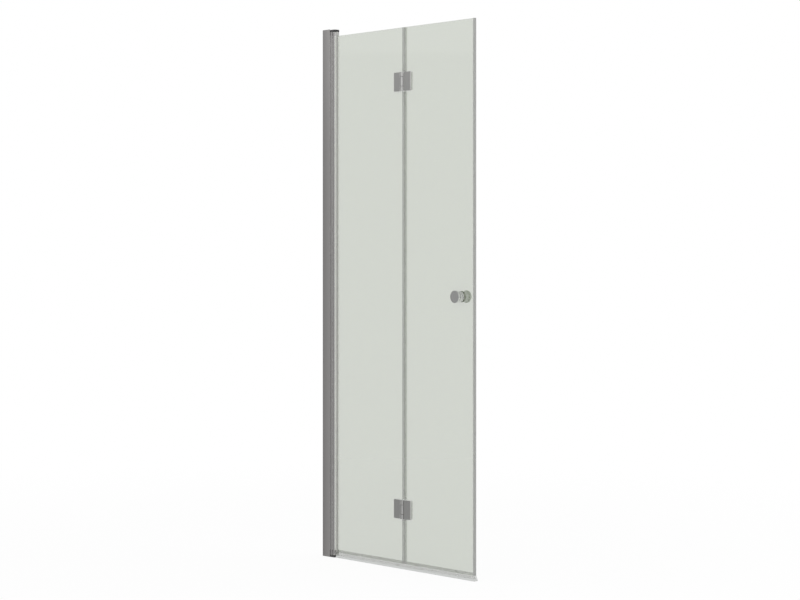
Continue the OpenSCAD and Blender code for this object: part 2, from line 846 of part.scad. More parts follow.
module hinge_screws(side) {
    length = clamp_t + 2*clamp_y + leaf_t - screw_tip_cover - seat_clear;
    color("#b5b5b2")
    for (z = hinge_zs, s = [-1, 1])
        translate([fold_x + side*hinge_screw_x, clamp_y + clamp_t, z + s*hinge_screw_z])
            rotate([-90, 0, 0])
            countersunk_screw(hinge_screw_d, hinge_head_d, hinge_head_h, length);
}

module hinge_screws_1() { hinge_screws(-1); }
module hinge_screws_2() { hinge_screws(1); }

module hinge_bushes() {
    color("#e8e6df")
    for (i = [0, 1])
        at_hinge(i)
            difference() {
                translate([0, 0, -knuckle_h/2]) cylinder(r = hinge_bush_r, h = knuckle_h);
                translate([0, 0, -knuckle_h/2 - overcut])
                    cylinder(r = hinge_pin_d/2 + running_clear, h = knuckle_h + 2*overcut);
            }
}

module hinge_pins() {
    color("#c4c4c2")
    for (i = [0, 1])
        at_hinge(i)
            translate([0, 0, seat_clear - hinge_h/2])
                cylinder(d = hinge_pin_d, h = hinge_h - 2*seat_clear);
}

module hinge_washers() {
    color("#e8e6df")
    for (i = [0, 1], z = [-knuckle_h/2 - knuckle_gap, knuckle_h/2 + seat_clear])
        at_hinge(i)
            translate([0, 0, z])
                difference() {
                    cylinder(r = barrel_r - seat_clear, h = washer_t);
                    translate([0, 0, -overcut])
                        cylinder(r = hinge_pin_d/2 + running_clear, h = washer_t + 2*overcut);
                }
}

// ---- Second panel: its glass and knobs ----

module glass_panel_2() {
    color([0.80, 0.83, 0.79, 0.4])
    difference() {
        glass_sheet(fold_edge_2, free_edge);
        hinge_glass_holes(1);
        bar_y(knob_x, -glass_half - overcut, knob_z, glass_hole_d/2, glass_t + 2*overcut);
    }
}

// A knob on the +Y side: base at y = 0, hollow waist, eased rim
module knob() {
    hollow_x = knob_r - knob_waist + knob_waist_r;
    rotate([-90, 0, 0])
    difference() {
        rotate_extrude($fn = 96)
            difference() {
                union() {
                    square([knob_r, knob_h - knob_rim_r]);
                    square([knob_r - knob_rim_r, knob_h]);
                    translate([knob_r - knob_rim_r, knob_h - knob_rim_r]) circle(knob_rim_r);
                }
                translate([hollow_x, knob_waist_h]) circle(knob_waist_r);
            }
        translate([0, 0, -overcut]) cylinder(r = stud_r + screw_clear, h = stud_reach + overcut);
        translate([0, 0, set_screw_h]) rotate([-90, 0, 0])
            cylinder(d = set_screw_d + 2*screw_clear, h = knob_r);
    }
}

module at_knob(side) {
    translate([knob_x, side*(glass_half + knob_washer_t), knob_z])
        mirror([0, side < 0 ? 1 : 0, 0]) children();
}

module outer_knob() { color("#8d8d8b") at_knob(-1) knob(); }
module inner_knob() { color("#8d8d8b") at_knob(1) knob(); }

module knob_stud() {
    half = glass_half + knob_washer_t + stud_reach - seat_clear;
    color("#b5b5b2") bar_y(knob_x, -half, knob_z, stud_r, 2*half);
}

module knob_bush() {
    color("#d9d9d4")
    difference() {
        bar_y(knob_x, -glass_half, knob_z, sleeve_r, glass_t);
        bar_y(knob_x, -glass_half - overcut, knob_z, stud_r + screw_clear, glass_t + 2*overcut);
    }
}

module knob_washers() {
    color("#55564f")
    for (y = [-glass_half - knob_washer_t, glass_half])
        difference() {
            bar_y(knob_x, y, knob_z, knob_washer_r, knob_washer_t);
            bar_y(knob_x, y - overcut, knob_z, stud_r + screw_clear,
                  knob_washer_t + 2*overcut);
        }
}

// Grub screws under the knobs that lock them on the stud
module knob_set_screws() {
    foot = knob_r - knob_waist - set_screw_inset;
    color("#b5b5b2")
    for (side = [-1, 1])
        at_knob(side)
            translate([0, set_screw_h, -foot])
                cylinder(d = set_screw_d, h = foot - stud_r - screw_clear);
}

wall_channel();
channel_cap();
adjusting_profile();
adjusting_screws();
screw_covers();
top_bracket();
bottom_bracket();
bracket_screws();
top_pivot_pin();
bottom_pivot_pin();
threshold_bar();
threshold_end_cap();
pivot_stile();
top_stile_plug();
bottom_stile_plug();
plug_screws();
top_pivot_bush();
bottom_pivot_bush();
glazing_gasket();
glass_panel_1();
bottom_seal_1();
upper_leaf_1();
lower_leaf_1();
upper_clamp_plate_1();
lower_clamp_plate_1();
hinge_gaskets_1();
hinge_screws_1();
hinge_bushes();
upper_leaf_2();
lower_leaf_2();
upper_clamp_plate_2();
lower_clamp_plate_2();
hinge_gaskets_2();
hinge_screws_2();
hinge_pins();
hinge_washers();
glass_panel_2();
fold_seal();
edge_seal();
bottom_seal_2();
outer_knob();
inner_knob();
knob_stud();
knob_bush();
knob_washers();
knob_set_screws();
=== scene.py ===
"""Looks for a two-leaf folding shower door: finishes, detailed fixings, studio and camera.

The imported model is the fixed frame. Its +X runs from the wall to the free edge, -Y faces the
bathroom, +Y the shower and +Z is up. All lengths here are in metres.
"""

import logging
import math
from abc import ABC, abstractmethod
from dataclasses import dataclass, replace
from enum import Enum
from typing import Any, Callable, Iterator, Mapping, Optional, Sequence, Union

import bpy
from mathutils import Matrix, Vector


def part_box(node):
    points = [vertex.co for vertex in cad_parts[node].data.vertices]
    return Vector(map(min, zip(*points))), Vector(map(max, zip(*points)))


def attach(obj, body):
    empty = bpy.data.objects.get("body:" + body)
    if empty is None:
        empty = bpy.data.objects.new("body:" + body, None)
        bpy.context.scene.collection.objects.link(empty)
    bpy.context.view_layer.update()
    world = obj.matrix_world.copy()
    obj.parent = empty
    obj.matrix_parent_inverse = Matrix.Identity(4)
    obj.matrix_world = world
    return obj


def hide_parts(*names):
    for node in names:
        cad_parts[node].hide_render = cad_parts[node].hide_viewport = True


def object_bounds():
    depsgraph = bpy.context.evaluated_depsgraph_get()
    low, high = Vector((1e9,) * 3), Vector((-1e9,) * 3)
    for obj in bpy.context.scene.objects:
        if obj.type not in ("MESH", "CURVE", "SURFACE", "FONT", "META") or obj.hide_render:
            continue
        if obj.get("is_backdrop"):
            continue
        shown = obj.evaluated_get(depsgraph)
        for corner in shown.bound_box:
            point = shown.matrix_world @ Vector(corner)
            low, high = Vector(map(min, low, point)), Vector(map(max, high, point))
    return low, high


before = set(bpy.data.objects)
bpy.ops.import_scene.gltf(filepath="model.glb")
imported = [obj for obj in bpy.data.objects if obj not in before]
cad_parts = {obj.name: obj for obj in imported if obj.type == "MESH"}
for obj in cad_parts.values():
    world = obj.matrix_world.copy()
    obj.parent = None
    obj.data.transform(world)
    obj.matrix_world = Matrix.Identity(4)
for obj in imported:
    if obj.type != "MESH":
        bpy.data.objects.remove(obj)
CAD_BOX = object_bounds()

MM = 0.001
PHOTO_WIDTH_PX = 800.0
PHOTO_HEIGHT_PX = 600.0

UP = Vector((0, 0, 1))
DOWN = Vector((0, 0, -1))
TO_SHOWER = Vector((0, 1, 0))

RGB = tuple[float, float, float]
Triple = tuple[float, float, float]
Value = Union[float, int, Sequence[float], "Signal"]

log = logging.getLogger("shower_door")


# ---- Colours ----

WHITE: RGB = (1.0, 1.0, 1.0)


def opaque(colour: RGB) -> tuple[float, float, float, float]:
    """A colour with full alpha."""
    return (*colour, 1.0)


def shade(colour: RGB, factor: float) -> RGB:
    """A colour made lighter or darker.

    Args:
        colour: the colour.
        factor: what each part is multiplied by.

    Returns:
        The new colour, kept under 1.
    """
    return tuple(min(1.0, part * factor) for part in colour)


# ---- Shader maths ----


class Signal:
    """An output socket in a node tree. Arithmetic on it adds Math nodes to the tree."""

    def __init__(self, graph: "Graph", socket: bpy.types.NodeSocket) -> None:
        """Wraps a socket.

        Args:
            graph: the node graph that the socket belongs to.
            socket: the output socket.
        """
        self.graph = graph
        self.socket = socket

    def _math(self, operation: str, first: Value, second: Value) -> "Signal":
        """Adds one Math node.

        Args:
            operation: the name of the node's operation.
            first: the upper input.
            second: the lower input.

        Returns:
            The node's result.
        """
        return self.graph.add("ShaderNodeMath", {"operation": operation}, {0: first, 1: second})

    def __add__(self, other: Value) -> "Signal":
        """The sum of this signal and a value."""
        return self._math("ADD", self, other)

    def __radd__(self, other: Value) -> "Signal":
        """The sum of a value and this signal."""
        return self._math("ADD", other, self)

    def __sub__(self, other: Value) -> "Signal":
        """This signal less a value."""
        return self._math("SUBTRACT", self, other)

    def __rsub__(self, other: Value) -> "Signal":
        """A value less this signal."""
        return self._math("SUBTRACT", other, self)

    def __mul__(self, other: Value) -> "Signal":
        """The product of this signal and a value."""
        return self._math("MULTIPLY", self, other)

    def __rmul__(self, other: Value) -> "Signal":
        """The product of a value and this signal."""
        return self._math("MULTIPLY", other, self)

    def __pow__(self, other: Value) -> "Signal":
        """This signal raised to a value."""
        return self._math("POWER", self, other)

    def __gt__(self, other: Value) -> "Signal":
        """One where this signal is greater than a value, and zero elsewhere."""
        return self._math("GREATER_THAN", self, other)

    def __abs__(self) -> "Signal":
        """This signal without its sign."""
        return self._math("ABSOLUTE", self, 0.0)

    def largest(self, other: Value) -> "Signal":
        """The greater of this signal and a value."""
        return self._math("MAXIMUM", self, other)

    def smallest(self, other: Value) -> "Signal":
        """The lesser of this signal and a value."""
        return self._math("MINIMUM", self, other)

    def clamped(self) -> "Signal":
        """This signal, kept from 0 to 1."""
        return self.largest(0.0).smallest(1.0)


def around(centre: float, *waves: tuple[Signal, float]) -> Signal:
    """A value that noises move to both sides of its middle.

    Args:
        centre: the middle.
        waves: each noise, from 0 to 1, with the width that it moves the value over.

    Returns:
        The value.
    """
    lowest = centre - sum(width for _, width in waves) / 2
    return sum((noise * width for noise, width in waves), lowest)


class Graph:
    """The node tree of one material or world."""

    def __init__(self, tree: bpy.types.NodeTree) -> None:
        """Empties a tree and takes it over.

        Args:
            tree: the tree to fill.
        """
        self.tree = tree
        self.tree.nodes.clear()

    def add(
        self,
        kind: str,
        settings: Optional[Mapping[str, Any]] = None,
        inputs: Optional[Mapping[Union[int, str], Value]] = None,
        output: Union[int, str] = 0,
    ) -> Signal:
        """Adds any node.

        Args:
            kind: the node's type.
            settings: its own settings, such as an operation, set before its sockets.
            inputs: the value or link of each socket, by name or place.
            output: the output socket to return.

        Returns:
            The chosen output.
        """
        node = self.tree.nodes.new(kind)
        for name, setting in (settings or {}).items():
            setattr(node, name, setting)
        for name, value in (inputs or {}).items():
            if isinstance(value, Signal):
                self.tree.links.new(value.socket, node.inputs[name])
            else:
                node.inputs[name].default_value = value
        return Signal(self, node.outputs[output])

    def finish(self, shader: Signal, kind: str = "ShaderNodeOutputMaterial") -> None:
        """Links a shader to the tree's output.

        Args:
            shader: what the surface shows.
            kind: the type of the output node.
        """
        node = self.tree.nodes.new(kind)
        self.tree.links.new(shader.socket, node.inputs["Surface"])

    def place(self) -> Signal:
        """The point in the row frame, which moves with its body."""
        return self.add("ShaderNodeTexCoord", output="Object")

    def facing(self) -> "Split":
        """The parts of the surface normal, in the frame of the piece."""
        return self.split(self.add("ShaderNodeTexCoord", output="Normal"))

    def split(self, vector: Signal) -> "Split":
        """Takes a vector apart.

        Args:
            vector: the vector.

        Returns:
            Its three parts.
        """
        node = self.tree.nodes.new("ShaderNodeSeparateXYZ")
        self.tree.links.new(vector.socket, node.inputs[0])
        return Split(*(Signal(self, node.outputs[i]) for i in range(3)))

    def noise(self, vector: Signal, detail: float = 2.0, roughness: float = 0.5) -> Signal:
        """Noise about 0.5 at a vector that is already scaled.

        Args:
            vector: where to take the noise.
            detail: how many finer layers it has.
            roughness: how strong those layers are.

        Returns:
            The noise, from 0 to 1.
        """
        inputs = {"Vector": vector, "Scale": 1.0, "Detail": detail, "Roughness": roughness}
        return self.add("ShaderNodeTexNoise", {"noise_dimensions": "3D"}, inputs, "Fac")

    def grain(
        self, waves: Union[float, Sequence[float]], detail: float = 2.0, roughness: float = 0.5
    ) -> Signal:
        """Noise that is fixed to the piece.

        Args:
            waves: how many waves a metre holds, along every axis or along each of the three.
            detail: how many finer layers it has.
            roughness: how strong those layers are.

        Returns:
            The noise, from 0 to 1.
        """
        factors = tuple(waves) if isinstance(waves, Sequence) else (waves,) * 3
        settings = {"operation": "MULTIPLY"}
        at = self.add("ShaderNodeVectorMath", settings, {0: self.place(), 1: factors})
        return self.noise(at, detail, roughness)

    def blend(self, factor: Value, first: Value, second: Value) -> Signal:
        """A colour between two colours.

        Args:
            factor: 0 for the first colour and 1 for the second.
            first: a colour of four numbers or a link.
            second: a colour of four numbers or a link.

        Returns:
            The mixed colour.
        """
        settings = {"data_type": "RGBA", "clamp_factor": True}
        return self.add("ShaderNodeMix", settings, {0: factor, 6: first, 7: second}, 2)

    def mottled(self, colour: RGB, change: float, noise: Signal) -> Signal:
        """A colour that turns a little darker and lighter with a noise.

        Args:
            colour: the middle of it.
            change: how far it moves either way, as a share.
            noise: what moves it, from 0 to 1.

        Returns:
            The colour.
        """
        dark, light = (opaque(shade(colour, factor)) for factor in (1.0 - change, 1.0 + change))
        return self.blend(noise, dark, light)

    def bump(self, height: Signal, depth: float) -> Signal:
        """A normal from a height of 0 to 1, where 1 stands for a depth in metres."""
        return self.add("ShaderNodeBump", None, {"Height": height, "Distance": depth})

    def principled(self, inputs: Mapping[Union[int, str], Value]) -> Signal:
        """A Principled shader with these sockets."""
        return self.add("ShaderNodeBsdfPrincipled", None, inputs)

    def mix_shader(self, factor: Value, first: Signal, second: Signal) -> Signal:
        """A shader between two shaders."""
        return self.add("ShaderNodeMixShader", None, {0: factor, 1: first, 2: second})


@dataclass(frozen=True)
class Split:
    """The three parts of a vector in a node tree."""

    x: Signal
    y: Signal
    z: Signal


# ---- Finishes ----

# Limits of a face's normal. Along X, a face above the first looks to the free edge, and one
# below the second looks to the wall. Along Y, a pane's narrow faces stay below the third.
TO_FREE_EDGE = 0.7
TO_WALL = -0.3
ON_SHEET = 0.3


@dataclass(frozen=True)
class Finish(ABC):
    """The surface of one of the door's materials."""

    slot: str
    colour: RGB
    mottle: float = 0.06
    roughness: float = 0.5
    rough_change: float = 0.12

    @abstractmethod
    def surface(self, graph: Graph) -> Signal:
        """Adds the nodes of the surface.

        Args:
            graph: the empty tree of the material.

        Returns:
            The finished shader.
        """

    def material(self) -> bpy.types.Material:
        """The material, made on first use.

        Returns:
            The Blender material of this finish.
        """
        if self not in MADE:
            made = bpy.data.materials.new(self.slot + "_look")
            made.use_nodes = True
            graph = Graph(made.node_tree)
            graph.finish(self.surface(graph))
            MADE[self] = made
        return MADE[self]


MADE: dict[Finish, bpy.types.Material] = {}


@dataclass(frozen=True)
class Metal(Finish):
    """A metal with satin faces, and with a painted highlight: a lighter tone painted where light
    falls.
    """

    # The colour of the painted highlight, a lighter copy of the metal's colour; none paints no
    # highlight.
    painted_highlight: Optional[RGB] = None

    def painted_highlight_share(self, graph: Graph) -> Value:
        """The share of the painted highlight: none, unless a metal says where it is painted."""
        return 0.0

    def tone(self, graph: Graph, grain: Signal) -> Signal:
        """The metal's colour, a little lighter and darker with its grain, and lighter where the
        highlight is painted.

        Args:
            graph: the tree to add to.
            grain: noise from 0 to 1.

        Returns:
            The colour.
        """
        satin = graph.mottled(self.colour, self.mottle, grain)
        if self.painted_highlight is None:
            return satin
        # Painted highlight: the lighter copy of the colour, blended in by its share.
        highlit = graph.mottled(self.painted_highlight, self.mottle, grain)
        return graph.blend(self.painted_highlight_share(graph), satin, highlit)


@dataclass(frozen=True)
class DrawnAluminium(Metal):
    """Anodised profile with the fine lines that the die leaves along its length, a painted
    highlight on faces that look to the free edge, and a tone painted lighter further from the
    wall.
    """

    mottle: float = 0.15
    roughness: float = 0.36
    rough_change: float = 0.10
    length_axis: int = 2
    # Painted reflection: the tone is painted lighter from the wall out to this distance.
    painted_light_from: float = 50.0 * MM
    # Heights between which the painted highlight is full; past them only a share of it is painted,
    # as painted shade past the glass ends. nose_share is the painted highlight on the nose faces
    # that look to the wall.
    shine_from: float = 0.0
    shine_to: float = 2.0
    past_glass_share: float = 0.35
    nose_share: float = 0.3
    line_pitch: float = 1.1 * MM
    line_depth: float = 0.006 * MM
    lengthwise_waves: float = 2.5
    cloud_waves: Triple = (16.0, 16.0, 5.0)
    cloud_rough_change: float = 0.05
    line_weight: float = 0.25
    cloud_weight: float = 0.2
    painted_gradient_weight: float = 0.55
    metal: float = 1.0

    def painted_highlight_share(self, graph: Graph) -> Signal:
        """Painted highlight on the faces that look to the free edge, full beside the clear glass
        and weaker past its ends as painted shade, and a weaker one on the nose faces that look to
        the wall.

        Args:
            graph: the tree to add to.

        Returns:
            The share of the brighter tone.
        """
        along = graph.facing().x
        at = graph.split(graph.place())
        # Painted shade: the highlight is weaker above and below the glass.
        by_glass = (at.z > self.shine_from) - (at.z > self.shine_to)
        side = by_glass * (1.0 - self.past_glass_share) + self.past_glass_share
        # A weaker painted highlight on the nose faces that look to the wall, past the set distance
        # from the wall.
        nose = (1.0 - (along > TO_WALL)) * (at.x > self.painted_light_from)
        return (along > TO_FREE_EDGE) * side + nose * self.nose_share

    def surface(self, graph: Graph) -> Signal:
        """Lines along the profile over a faint cloud, with a painted reflection that makes the
        tone lighter further from the wall.

        Args:
            graph: the empty tree of the material.

        Returns:
            The finished shader.
        """
        waves = [1.0 / self.line_pitch] * 3
        waves[self.length_axis] = self.lengthwise_waves
        lines = graph.grain(waves, detail=3.0, roughness=0.62)
        cloud = graph.grain(self.cloud_waves)
        # Painted reflection: lighter further from the wall, up to the set distance.
        paler = (graph.split(graph.place()).x * (1.0 / self.painted_light_from)).clamped()
        grain_and_painted_reflection = lines * self.line_weight + cloud * self.cloud_weight + paler * self.painted_gradient_weight
        rough = around(
            self.roughness, (lines, self.rough_change), (cloud, self.cloud_rough_change)
        )
        return graph.principled({
            "Base Color": self.tone(graph, grain_and_painted_reflection),
            "Metallic": self.metal,
            "Roughness": rough,
            "Normal": graph.bump(lines, self.line_depth),
        })


@dataclass(frozen=True)
class SatinCasting(Metal):
    """Satin chrome on a cast plate, rubbed in one direction, with a painted highlight on and
    beside the barrel and on the edges that look to the free edge.
    """

    mottle: float = 0.07
    roughness: float = 0.30
    axis_x: float = 0.0
    axis_y: float = 0.0
    barrel_r: float = 5.3 * MM
    fade_r: float = 9.5 * MM
    # Shares of the painted highlight: on the barrel's front, its gain towards the free edge, and
    # at the foot of the pins; metal_loss makes it less metallic where painted.
    front_share: float = 0.35
    side_gain: float = 0.45
    foot: float = 0.0
    head: float = 2.0
    foot_share: float = 0.15
    metal_loss: float = 0.7
    grain_pitch: float = 0.5 * MM
    grain_stretch: float = 0.06
    grain_depth: float = 0.004 * MM
    grain_weight: float = 0.6
    cloud_waves: float = 60.0
    cloud_rough_change: float = 0.06

    def painted_highlight_share(self, graph: Graph) -> Signal:
        """Painted highlight around the barrel, stronger on its side towards the free edge and
        stronger higher up as painted light from above, so most at the upper hinge, and full on the
        edges that look away from the wall.

        Args:
            graph: the tree to add to.

        Returns:
            The share of the brighter tone.
        """
        at = graph.split(graph.place())
        out, off = at.x - self.axis_x, at.y - self.axis_y
        fade = 1.0 / (self.fade_r**2 - self.barrel_r**2)
        reach = (self.fade_r**2 - (out * out + off * off)) * fade
        # Painted highlight stronger on the side towards the free edge.
        side = out * (self.side_gain / self.barrel_r) + self.front_share
        # Painted light from above: the highlight is weaker at the foot of the pins and full at
        # their head.
        rise = (1.0 - self.foot_share) / (self.head - self.foot)
        height = (at.z - self.foot) * rise + self.foot_share
        barrel = reach.clamped() * (side.clamped() * height)
        # Full painted highlight on the edges that look to the free edge.
        return barrel.largest(graph.facing().x > TO_FREE_EDGE)

    def surface(self, graph: Graph) -> Signal:
        """Short rubbing marks up the plate, and a slight unevenness of the polish.

        Args:
            graph: the empty tree of the material.

        Returns:
            The finished shader.
        """
        across = 1.0 / self.grain_pitch
        grain = graph.grain((across, across, across * self.grain_stretch), detail=4.0)
        cloud = graph.grain(self.cloud_waves, detail=1.0)
        marks = grain * self.grain_weight + cloud * (1.0 - self.grain_weight)
        rough = around(
            self.roughness, (grain, self.rough_change), (cloud, self.cloud_rough_change)
        )
        return graph.principled({
            "Base Color": self.tone(graph, marks),
            # Less metallic where the highlight is painted, so its lighter tone shows as a painted
            # highlight.
            "Metallic": 1.0 - self.painted_highlight_share(graph) * self.metal_loss,
            "Roughness": rough,
            "Normal": graph.bump(grain, self.grain_depth),
        })


@dataclass(frozen=True)
class TurnedChrome(Metal):
    """Satin chrome on a lathe-turned knob, with rings about its axis along Y."""

    roughness: float = 0.26
    axis_x: float = 0.0
    axis_z: float = 0.0
    # Share of the painted highlight on the sides, and how much less of it is on the sides that
    # look up.
    side_share: float = 0.85
    side_fall: float = 0.3
    ring_pitch: float = 0.35 * MM
    ring_depth: float = 0.003 * MM
    ring_weight: float = 0.7
    cloud_waves: float = 80.0

    def painted_highlight_share(self, graph: Graph) -> Signal:
        """Painted highlight on the knob's sides, stronger on those that look down than on those
        that look up, none on the flat face.
        """
        facing = graph.facing()
        return (1.0 - abs(facing.y)) * (self.side_share - facing.z * self.side_fall)

    def surface(self, graph: Graph) -> Signal:
        """Rings that follow the distance from the axis and the depth along it.

        Args:
            graph: the empty tree of the material.

        Returns:
            The finished shader.
        """
        at = graph.split(graph.place())
        across, up = at.x - self.axis_x, at.z - self.axis_z
        radius = (across * across + up * up) ** 0.5
        waves = 1.0 / self.ring_pitch
        rings_at = graph.add("ShaderNodeCombineXYZ", None, {0: radius * waves, 1: at.y * waves})
        rings = graph.noise(rings_at)
        cloud = graph.grain(self.cloud_waves, detail=1.0)
        marks = rings * self.ring_weight + cloud * (1.0 - self.ring_weight)
        return graph.principled({
            "Base Color": self.tone(graph, marks),
            "Metallic": 1.0,
            "Roughness": around(self.roughness, (rings, self.rough_change)),
            "Normal": graph.bump(rings, self.ring_depth),
        })


@dataclass(frozen=True)
class PlainSteel(Metal):
    """Stainless steel of screws and pins."""

    mottle: float = 0.08
    roughness: float = 0.28
    rough_change: float = 0.16
    mark_waves: float = 1500.0
    mark_depth: float = 0.003 * MM

    def surface(self, graph: Graph) -> Signal:
        """Fine tumbling marks in every direction.

        Args:
            graph: the empty tree of the material.

        Returns:
            The finished shader.
        """
        marks = graph.grain(self.mark_waves, detail=3.0)
        return graph.principled({
            "Base Color": self.tone(graph, marks),
            "Metallic": 1.0,
            "Roughness": around(self.roughness, (marks, self.rough_change)),
            "Normal": graph.bump(marks, self.mark_depth),
        })


@dataclass(frozen=True)
class Moulded(Finish):
    """Moulded plastic, nylon or rubber with a fine spark-eroded grain."""

    rough_change: float = 0.14
    grain_pitch: float = 0.45 * MM
    grain_depth: float = 0.012 * MM
    grain_weight: float = 0.4
    cloud_waves: Triple = (70.0, 70.0, 25.0)

    def surface(self, graph: Graph) -> Signal:
        """A grain over a slow change of tone.

        Args:
            graph: the empty tree of the material.

        Returns:
            The finished shader.
        """
        grain = graph.grain(1.0 / self.grain_pitch, detail=3.0)
        cloud = graph.grain(self.cloud_waves)
        tone = grain * self.grain_weight + cloud * (1.0 - self.grain_weight)
        return graph.principled({
            "Base Color": graph.mottled(self.colour, self.mottle, tone),
            "Roughness": around(self.roughness, (grain, self.rough_change)),
            "Normal": graph.bump(grain, self.grain_depth),
        })


@dataclass(frozen=True)
class ClearSheet(Finish):
    """A clear sheet. Each face holds back a share of what is behind it."""

    mottle: float = 0.03
    rough_change: float = 0.02
    face_share: float = 0.3
    share_change: float = 0.0
    shine: float = 0.5
    patch: float = 0.15

    def tint(self, graph: Graph, cloud: Signal) -> Signal:
        """The colour of what the sheet holds back, where the cloud is slow noise."""
        return graph.mottled(self.colour, self.mottle, cloud)

    def share(self, graph: Graph, cloud: Signal) -> Signal:
        """The share that a face holds back, from 0 to 1, where the cloud is slow noise."""
        return around(self.face_share, (cloud, 2.0 * self.share_change))

    def surface(self, graph: Graph) -> Signal:
        """A tinted, very faintly cloudy sheet.

        Args:
            graph: the empty tree of the material.

        Returns:
            The finished shader.
        """
        cloud = graph.grain(1.0 / self.patch)
        return graph.principled({
            "Base Color": self.tint(graph, cloud),
            "Roughness": around(self.roughness, (cloud, self.rough_change)),
            "Specular IOR Level": self.shine,
            "Alpha": self.share(graph, cloud),
        })


@dataclass(frozen=True)
class Glass(ClearSheet):
    """A toughened pane, whose ground edges look into its whole depth."""

    edge_colour: RGB = (0.3, 0.4, 0.3)
    edge_share: float = 0.7

    @staticmethod
    def _edge(graph: Graph) -> Signal:
        """One on the narrow faces of the pane, and zero on its two sheets."""
        return 1.0 - (abs(graph.facing().y) > ON_SHEET)

    def tint(self, graph: Graph, cloud: Signal) -> Signal:
        """The pane's colour, and the deeper green of its edges."""
        sheet = super().tint(graph, cloud)
        return graph.blend(self._edge(graph), sheet, opaque(self.edge_colour))

    def share(self, graph: Graph, cloud: Signal) -> Signal:
        """The pane's share, and the greater one of its edges."""
        more = self._edge(graph) * (self.edge_share - self.face_share)
        return super().share(graph, cloud) + more


@dataclass(frozen=True)
class Seal(ClearSheet):
    """A clear strip with a hard clip, softer, paler fins below a height, and a milky tube."""

    fin_top: float = 0.0
    fin_colour: RGB = (0.6, 0.6, 0.6)
    fin_share: float = 0.3
    tube_from: Optional[float] = None
    tube_share: float = 0.7

    def _fin(self, graph: Graph) -> Signal:
        """One on the fins, and zero on the clip."""
        return 1.0 - (graph.split(graph.place()).z > self.fin_top)

    def tint(self, graph: Graph, cloud: Signal) -> Signal:
        """The clip's colour, and that of the fins."""
        clip = super().tint(graph, cloud)
        return graph.blend(self._fin(graph), clip, opaque(self.fin_colour))

    def share(self, graph: Graph, cloud: Signal) -> Signal:
        """The clip's share, and that of the fins and of the tube.

        Args:
            graph: the tree to add to.
            cloud: slow noise from 0 to 1.

        Returns:
            The share that is held back, from 0 to 1.
        """
        share = super().share(graph, cloud) + self._fin(graph) * (self.fin_share - self.face_share)
        if self.tube_from is None:
            return share
        tube = graph.split(graph.place()).x > self.tube_from
        return share + tube * (self.tube_share - self.face_share)


# ---- Places and finishes of this door ----


def middle(node: str) -> Vector:
    """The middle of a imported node's box."""
    return sum(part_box(node), Vector()) / 2


KNOB_AXIS = middle("outer_knob")
FOLD_AXIS = middle("hinge_pins")
FOLD_FOOT, FOLD_HEAD = (corner.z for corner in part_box("hinge_pins"))
GLASS_FOOT, GLASS_HEAD = (corner.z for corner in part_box("glass_panel_1"))
CLIP_DROP = 6.0 * MM
FIN_TOP = GLASS_FOOT - CLIP_DROP
GLASS_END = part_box("glass_panel_2")[1].x

# The profile's colour, and the lighter colour of its painted highlight on faces that look to the
# free edge.
PROFILE = DrawnAluminium(
    "profile_aluminium", (0.224, 0.217, 0.215), painted_highlight=(0.88, 0.88, 0.86),
    shine_from=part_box("bottom_seal_1")[1].z, shine_to=GLASS_HEAD,
)
# The channel: a stronger change of tone, and its painted reflection lighter across its 40 mm face.
CHANNEL = replace(PROFILE, painted_light_from=40.0 * MM, mottle=0.28)
SILL = DrawnAluminium(
    "threshold_aluminium", (0.60, 0.61, 0.60), length_axis=0, roughness=0.42, mottle=0.03,
    metal=0.35,
)
SILL_CAP = Moulded("threshold_plastic", (0.60, 0.61, 0.60), roughness=0.45)
BLACK_PLASTIC = Moulded("black_plastic", (0.022, 0.021, 0.021), roughness=0.42)
FOOT_PLASTIC = replace(BLACK_PLASTIC, colour=(0.045, 0.044, 0.043))
GREY_PLASTIC = Moulded("grey_plastic", (0.40, 0.40, 0.38), roughness=0.5)
STEEL = PlainSteel("steel", (0.50, 0.50, 0.49))
NYLON = Moulded("white_nylon", (0.78, 0.77, 0.72), roughness=0.4)
RUBBER = Moulded("glazing_rubber", (0.42, 0.42, 0.40), roughness=0.62)
GLASS = Glass(
    "glass", (0.285, 0.342, 0.225), edge_colour=(0.30, 0.38, 0.29), face_share=0.29,
    edge_share=0.48, share_change=0.002, roughness=0.03, patch=0.4,
)
SEAL = Seal(
    "clear_seal", (0.36, 0.375, 0.34), face_share=0.22, share_change=0.02, roughness=0.25,
    patch=0.03, fin_top=FIN_TOP, fin_colour=(0.66, 0.67, 0.65), fin_share=0.35,
)
FOLD_SEAL = replace(SEAL, face_share=0.27)
EDGE_SEAL = replace(
    SEAL, colour=(0.45, 0.455, 0.44), face_share=0.07, tube_from=GLASS_END, tube_share=0.72
)
WASHER = Moulded("clear_washer", (0.78, 0.78, 0.75), roughness=0.45)
# The hinge metal's colour, and the lighter colour of its painted highlight.
CASTING = SatinCasting(
    "hinge_metal", (0.235, 0.235, 0.23), painted_highlight=(0.54, 0.54, 0.53),
    axis_x=FOLD_AXIS.x, axis_y=FOLD_AXIS.y, foot=FOLD_FOOT, head=FOLD_HEAD,
)
# The knob's colour, and the lighter colour of the painted highlight on its sides.
KNOB = TurnedChrome(
    "knob_metal", (0.270, 0.273, 0.268), painted_highlight=(0.84, 0.845, 0.84),
    axis_x=KNOB_AXIS.x, axis_z=KNOB_AXIS.z,
)
# The inner knob, behind the glass, has a weaker painted highlight.
INNER_KNOB = replace(KNOB, painted_highlight=(0.52, 0.525, 0.52))


# ---- Mesh tools ----

Ring = list[Vector]

SMOOTH_BELOW = math.radians(35)


def round_ring(radius: float, height: float, count: int) -> Ring:
    """A circle of points about Z.

    Args:
        radius: the circle's radius.
        height: its place along Z.
        count: how many points it has.

    Returns:
        The points, in order.
    """
    return shaped_ring(lambda _: radius, height, count)


